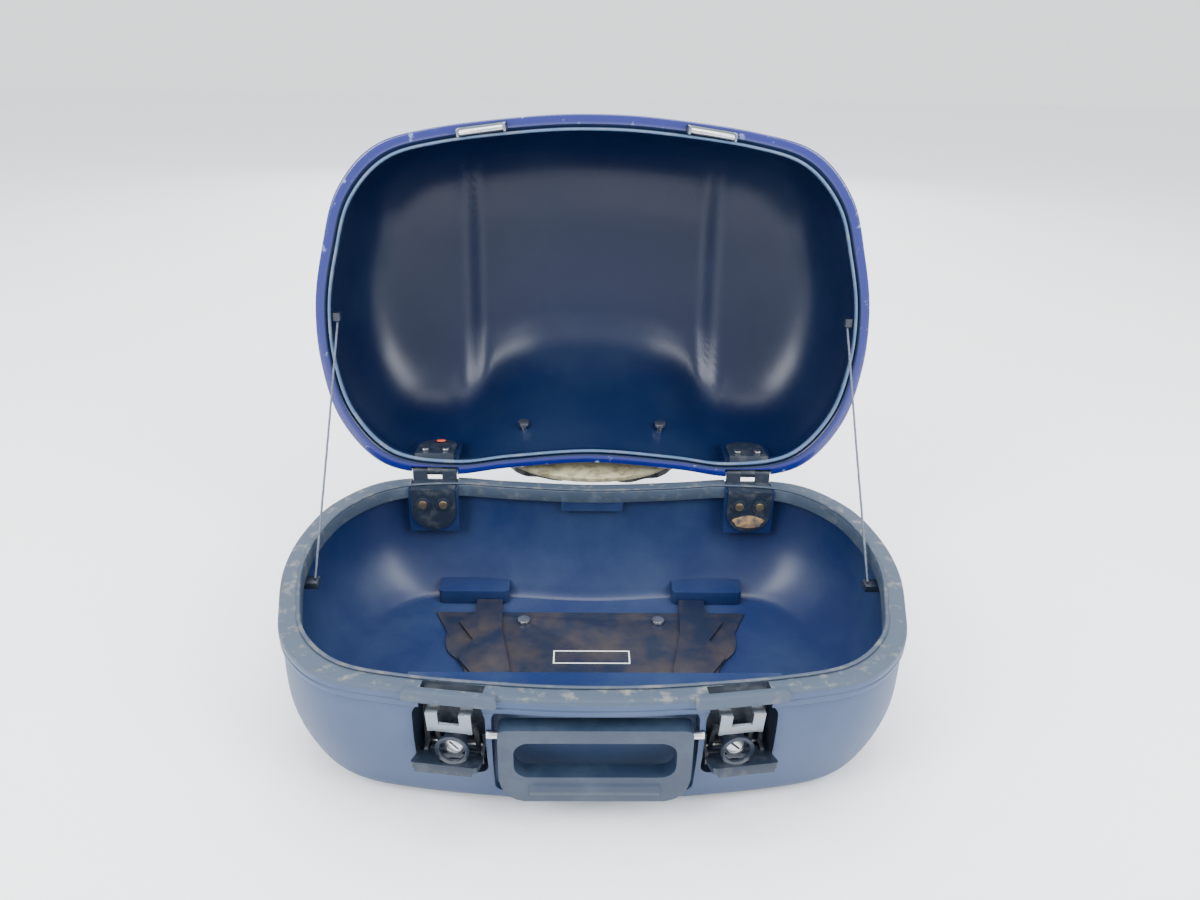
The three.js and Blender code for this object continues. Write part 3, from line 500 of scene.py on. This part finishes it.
def lid_mesh():
    shape = [[16, 0, 0, 0.5], [42, 1.5, 2, 5], [78, 5, 6, 14], [106, 11, 13, 24], [126, 22, 26, 40],
             [139, 39, 44, 60], [146, 66, 70, 84], [149.2, 90, 90, 102], [150.2, 108, 102, 113],
             [150.6, 122, 110, 120], [150.8, 136, 118, 127], [151, 150, 126, 134]]
    wall = 2.8
    outside = [[0, 2.2, 2.2, 2.2], [0.3, 1.2, 1.2, 1.2], [1.0, 0.5, 0.5, 0.5], [2.4, 0.1, 0.1, 0.1],
               [6, 0, 0, 0]]
    outside += dense(shape, 3)
    inside = [[h, s + wall, f + wall, b + wall] for h, s, f, b in shape]
    lifts = [wall * float(smooth(60, 140, h)) for h, *_ in shape]
    inner = [lid_ring(r[:4], r[4]) for r in dense([[*r, l] for r, l in zip(inside[1:], lifts[1:])], 3)]
    rim = [ring(LID_Z + 0.35, 9.3), ring(LID_Z + 1.5, 10.2), ring(LID_Z + 2.8, 11.3), ring(LID_Z + 2.8, 14.3),
           ring(LID_Z + 3.6, 14.5), ring(LID_Z + 8.4, 14.5), ring(LID_Z + 9.4, 14.0),
           ring(LID_Z + 18, 7, 7, 9)]
    outer = [lid_ring(r) for r in reversed(outside)]
    ledge = [ring(LID_Z, 4.5), ring(LID_Z, 8.6)]
    rings = outer + ledge + rim + inner
    looks = [0] * (len(outer) + 1) + [1] * (len(rings))
    mesh = loft(rings, looks, name="lid")
    hull = loft([lid_ring(r) for r in outside], [0])
    pads = [box_mesh(s * HINGE_X - HINGE_PAD, s * HINGE_X + HINGE_PAD, 150.6, 164, LID_Z + 3, LID_Z + 52, 1)
            for _, s in SIDES]
    mesh = boolean(mesh, boolean(merged(*pads), hull, "INTERSECT"), "UNION")
    for _, s in SIDES:
        x = s * HINGE_X
        tools = [
            box_mesh(x - HINGE_POCKET, x + HINGE_POCKET, 139, 190, LID_Z + 2.3, LID_Z + 4.9, 1),
            prism([(HINGE[1] + 5.4 * math.cos(a), HINGE[2] + 5.4 * math.sin(a)) for a in
                   (2 * math.pi * k / 24 for k in range(24))], x - HINGE_POCKET, x + HINGE_POCKET, "x", 1),
            box_mesh(x - HINGE_POCKET, x + HINGE_POCKET, 161.6, 190, LID_Z - 2, LID_Z + 5.3, 1),
            placed(box_mesh(-22, 22, 3.2, 10.9, LID_Z - 1, LID_Z + 1.2, 1), latch_at(s)),
        ]
        for dx in (-RIVET_X, RIVET_X):
            tools.append(prism(disc(x + dx, LID_RIVET_Z, RIVET_HOLE, 16), 138, 170, "y", 1))
            tools.append(prism(disc(x + dx, LID_RIVET_Z, RIVET_COUNTERBORE, 20), 159, 180, "y", 1))
        tools.append(placed(prism(disc(s * PAD_BOLT_X, PAD_BOLT_Z, 3.1, 16), -40, 12, "y", 1), PAD_AT))
        for tool in tools:
            mesh = boolean(mesh, tool, "DIFFERENCE")
    return mesh


lid = lid_mesh()
bevel_mesh(lid, 0.5, 2, 42, dissolve=False)
lid = own("lid", lid, "lid", ["lid_paint", "lid_in"], LID_AT, smooth_angle=34)
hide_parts("lid_shell")

bead_rows = [(LID_Z - 0.4, 12.3), (LID_Z - 0.7, 12.8), (LID_Z - 0.7, 13.7), (LID_Z - 0.3, 14.2),
             (LID_Z + 2.5, 14.5), (LID_Z + 2.5, 11.8)]
bead = own("bead", loft([ring(z, i) for z, i in bead_rows], [0], True), "lid", "bead", LID_AT, 60)
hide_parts("lid_bead")

# ---------------------------------------------------------------- everything else from the frame
WIDTHS = {"carry_handle": 2.2, "mounting_plate": 1.2, "floor_panel": 0.8, "backrest_board": 0.7}
LOOKS = {"floor_panel": "floor", "carry_handle": "handle"}
for _side, _ in SIDES:
    LOOKS["lid_keeper_" + _side] = "dull_steel"
    LOOKS["latch_claw_" + _side] = "dull_steel"
    LOOKS["floor_block_" + _side] = "tub_in"
SKIP = {"tub_shell", "flange_seal", "lid_shell", "lid_bead", "backrest_cushion",
        "lid_cord_left", "lid_cord_right"}
for node in NODES:
    if node not in SKIP:
        refine(node, WIDTHS.get(node, 0.35), 3 if node == "carry_handle" else 2, LOOKS.get(node))


# ---------------------------------------------------------------- cords
def tube(points, radius, seg=12, lobes=0.0, turns=0.0):
    pts = [Vector(p) for p in points]
    verts, faces = [], []
    for i, p in enumerate(pts):
        d = (pts[min(i + 1, len(pts) - 1)] - pts[max(i - 1, 0)]).normalized()
        a = d.cross(Vector((1, 0, 0))).normalized()
        b = d.cross(a).normalized()
        for k in range(seg):
            t = 2 * math.pi * k / seg
            r = radius * (1 + lobes * math.cos(3 * t + turns * i))
            verts.append(p + (a * math.cos(t) + b * math.sin(t)) * r)
    for i in range(len(pts) - 1):
        for k in range(seg):
            j = (k + 1) % seg
            faces.append((i * seg + k, i * seg + j, (i + 1) * seg + j, (i + 1) * seg + k))
    faces.append(tuple(range(seg)))
    faces.append(tuple(range(len(pts) * seg - 1, (len(pts) - 1) * seg - 1, -1)))
    return mesh_from(verts, faces, "tube")


for side, s in SIDES:
    start = Vector((s * CORD_CASE[0], *CORD_CASE[1:])) * MM
    end = (LID_AT @ Vector((s * CORD_LID[0], *CORD_LID[1:]))) * MM
    path = [start.lerp(end, i / CORD_STEPS) for i in range(CORD_STEPS + 1)]
    for i, p in enumerate(path):
        path[i] = p - Vector((0, 0, CORD_SAG * math.sin(math.pi * i / CORD_STEPS)))
    mesh = tube(path, CORD_RADIUS, 12, 0.09, 0.55)
    obj = new_object("cord_" + side, mesh, [M["cord"]])
    shade(mesh, 80)
    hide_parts("lid_cord_" + side)
    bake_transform(obj)


# ---------------------------------------------------------------- camera
def camera():
    yaw, pitch, roll = math.radians(1.48), math.radians(25.45), math.radians(1.16)
    f = Vector((math.sin(yaw) * math.cos(pitch), math.cos(yaw) * math.cos(pitch), -math.sin(pitch)))
    r = Vector((math.cos(yaw), -math.sin(yaw), 0))
    u = r.cross(f)
    right = math.cos(roll) * r + math.sin(roll) * u
    up = -math.sin(roll) * r + math.cos(roll) * u
    data = bpy.data.cameras.new("camera")
    data.sensor_width = 36
    data.lens = 29.4
    data.clip_start = 0.01
    cam = bpy.data.objects.new("camera", data)
    bpy.context.scene.collection.objects.link(cam)
    cam.matrix_world = Matrix(((right.x, up.x, -f.x, -0.0149), (right.y, up.y, -f.y, -0.7021),
                               (right.z, up.z, -f.z, 0.5670), (0, 0, 0, 1)))
    bpy.context.scene.camera = cam


camera()


# ---------------------------------------------------------------- lights and floor
def area(name, place, target, size, power, color=(1, 1, 1), size_y=None):
    data = bpy.data.lights.new(name, "AREA")
    data.shape = "RECTANGLE"
    data.size = size
    data.size_y = size_y or size
    data.energy = power
    data.color = color
    o = bpy.data.objects.new(name, data)
    bpy.context.scene.collection.objects.link(o)
    d = Vector(target) - Vector(place)
    o.matrix_world = Matrix.Translation(place) @ d.to_track_quat("-Z", "Y").to_matrix().to_4x4()


area("left window", (-1.5, -1.2, 1.5), (0, 0.05, 0.2), 1.0, 62, (0.95, 0.98, 1.0), 1.6)
area("right window", (1.5, -1.1, 1.5), (0, 0.05, 0.2), 1.0, 54, (0.95, 0.98, 1.0), 1.6)
area("top", (0, 0.2, 2.2), (0, 0, 0), 1.8, 60)
area("back", (0, 2.2, 1.2), (0, 0, 0.3), 2.0, 30)

world = bpy.data.worlds.new("studio")
bpy.context.scene.world = world
world.use_nodes = True
world.node_tree.nodes["Background"].inputs["Color"].default_value = (0.95, 0.98, 1.0, 1)
world.node_tree.nodes["Background"].inputs["Strength"].default_value = 1.6

FLOOR_HALF, FLOOR_DROP = 5, -0.0006
corners = [(-1, -1), (1, -1), (1, 1), (-1, 1)]
floor_mesh = mesh_from([(x * FLOOR_HALF, y * FLOOR_HALF, FLOOR_DROP) for x, y in corners], [(0, 1, 2, 3)])
M["ground"] = worn("pale cloth floor", (0.92, 0.93, 0.95), 0.9, dirt=(0.86, 0.89, 0.94), amount=0.4, scale=4,
                   fine=14, bump=0.004)
ground = new_object("ground", floor_mesh, [M["ground"]])


# ---------------------------------------------------------------- backrest cushion
def cushion_object():
    """The pad blown up from a slightly smaller solid, then given its welt and centre seams."""
    src = NODES["backrest_cushion"]
    to_pad = (Matrix.Scale(MM, 4) @ LID_AT @ PAD_AT @ Matrix.Scale(1 / MM, 4)).inverted()
    mesh = src.data.copy()
    mesh.materials.clear()
    mesh.transform(src.matrix_world)
    mesh.transform(to_pad)
    at = np.array([v.co[:] for v in mesh.vertices])
    low, high = at.min(0), at.max(0)
    middle, half = (low + high) / 2, (high - low) / 2
    shrink = Matrix.Diagonal((*(1 - CUSHION_INSET / half), 1))
    mesh.transform(Matrix.Translation(middle) @ shrink @ Matrix.Translation(-middle))
    obj = new_object("cushion", mesh, [M["vinyl"]])
    bpy.context.view_layer.update()
    remesh = obj.modifiers.new("remesh", "REMESH")
    remesh.mode = "VOXEL"
    remesh.voxel_size = CUSHION_VOXEL

    def bake():
        dg = bpy.context.evaluated_depsgraph_get()
        dg.update()
        done = bpy.data.meshes.new_from_object(obj.evaluated_get(dg))
        obj.modifiers.clear()
        obj.data = done

    bake()
    start = np.array([v.co[:] for v in obj.data.vertices])
    cloth = obj.modifiers.new("cloth", "CLOTH")
    cloth.settings.use_pressure = True
    cloth.settings.uniform_pressure_force = CUSHION_PRESSURE
    cloth.settings.effector_weights.gravity = 0
    cloth.point_cache.frame_start, cloth.point_cache.frame_end = 1, CUSHION_FRAMES
    for number in range(1, CUSHION_FRAMES + 1):
        bpy.context.scene.frame_set(number)
    bake()
    bpy.context.scene.frame_set(1)
    now = np.array([v.co[:] for v in obj.data.vertices])
    step = now - start
    reach = np.linalg.norm(step, axis=1, keepdims=True)
    now = start + step * np.minimum(1, CUSHION_CAP / np.maximum(reach, 1e-9))
    now = np.clip(now, low, high)
    # sewn channels: a groove round the edge of the front face and a line across the middle
    out = np.abs((now - middle) / half)
    depth = SEAM_DEPTH * np.exp(-(((np.maximum(out[:, 0], out[:, 2]) - 0.80) / 0.035) ** 2))
    depth += SEAM_DEPTH * np.exp(-(((now[:, 2] - middle[2]) / 0.0022) ** 2)) * (out[:, 0] < 0.80)
    face = np.sign(middle[1] - now[:, 1])
    now[:, 1] += np.where(out[:, 1] > 0.55, face * depth, 0)
    obj.data.vertices.foreach_set("co", now.ravel())
    sub = obj.modifiers.new("sub", "SUBSURF")
    sub.levels = sub.render_levels = 1
    bake()
    obj.data.transform(to_pad.inverted())
    for polygon in obj.data.polygons:
        polygon.use_smooth = True
    obj.data.materials.clear()
    obj.data.materials.append(M["vinyl"])
    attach(obj, "lid")
    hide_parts("backrest_cushion")


cushion_object()

# ---------------------------------------------------------------- small things fixed to the case and the lid
def on(name, mesh, body, look, at=None):
    """A thin piece of its own, with softened edges."""
    bevel_mesh(mesh, 0.25, 2, 40)
    return own(name, mesh, body, look, at)


frame_outer = box_mesh(-35, 35, 14, 33, PANEL_TOP + 0.1, PANEL_TOP + 0.4)
cutter = box_mesh(-33.8, 33.8, 15.2, 31.8, PANEL_TOP - 1, PANEL_TOP + 2)
on("label_frame", boolean(frame_outer, cutter, "DIFFERENCE"), "case", "white")
for side, s in SIDES:
    # a raised tread with a notched outer side, running from each rear block towards the front
    tread = [(71, -8), (73, -60), (96, -60), (118, -30), (104, -8), (122, 20), (110, 46),
             (126, 74), (112, 88), (112, 111), (87, 111), (84, 60)]
    tread = [(s * x, y) for x, y in tread]
    on("floor_tread_" + side, prism(tread, PANEL_TOP + 0.1, PANEL_TOP + 3.4, "z"), "case", "floor")
    # dark washers round the rivets of the leaf on the case
    for k, dx in ((1, -RIVET_X), (2, RIVET_X)):
        cx = s * HINGE_X + dx
        washer = prism(disc(cx, RIVET_Z, 7.2, 28), 140.6, 141.4, "y")
        on(f"case_washer_{side}_{k}", washer, "case", "dark_plastic")
    # the moulded collar round each lock
    ring_mesh = boolean(prism(disc(0, 72, 12.6, 40), -1.0, 1.6, "y"), prism(disc(0, 72, 9.6, 40), -5, 5, "y"),
                        "DIFFERENCE")
    on("lock_collar_" + side, placed(ring_mesh, latch_at(s)), "case", "dark_plastic")
dot = prism(disc(-HINGE_X + 2, 164, 4.6, 32, 3.2), 146.9, 147.3, "y")
on("sticker", dot, "lid", "red", LID_AT)
stain = prism([(155 + 15 * math.cos(a) * (1 + 0.1 * math.sin(5 * a)), 88 + 7 * math.sin(a)) for a in
               (2 * math.pi * k / 48 for k in range(48))], 141.1, 141.5, "y")
on("rust_stain", stain, "case", "rust")
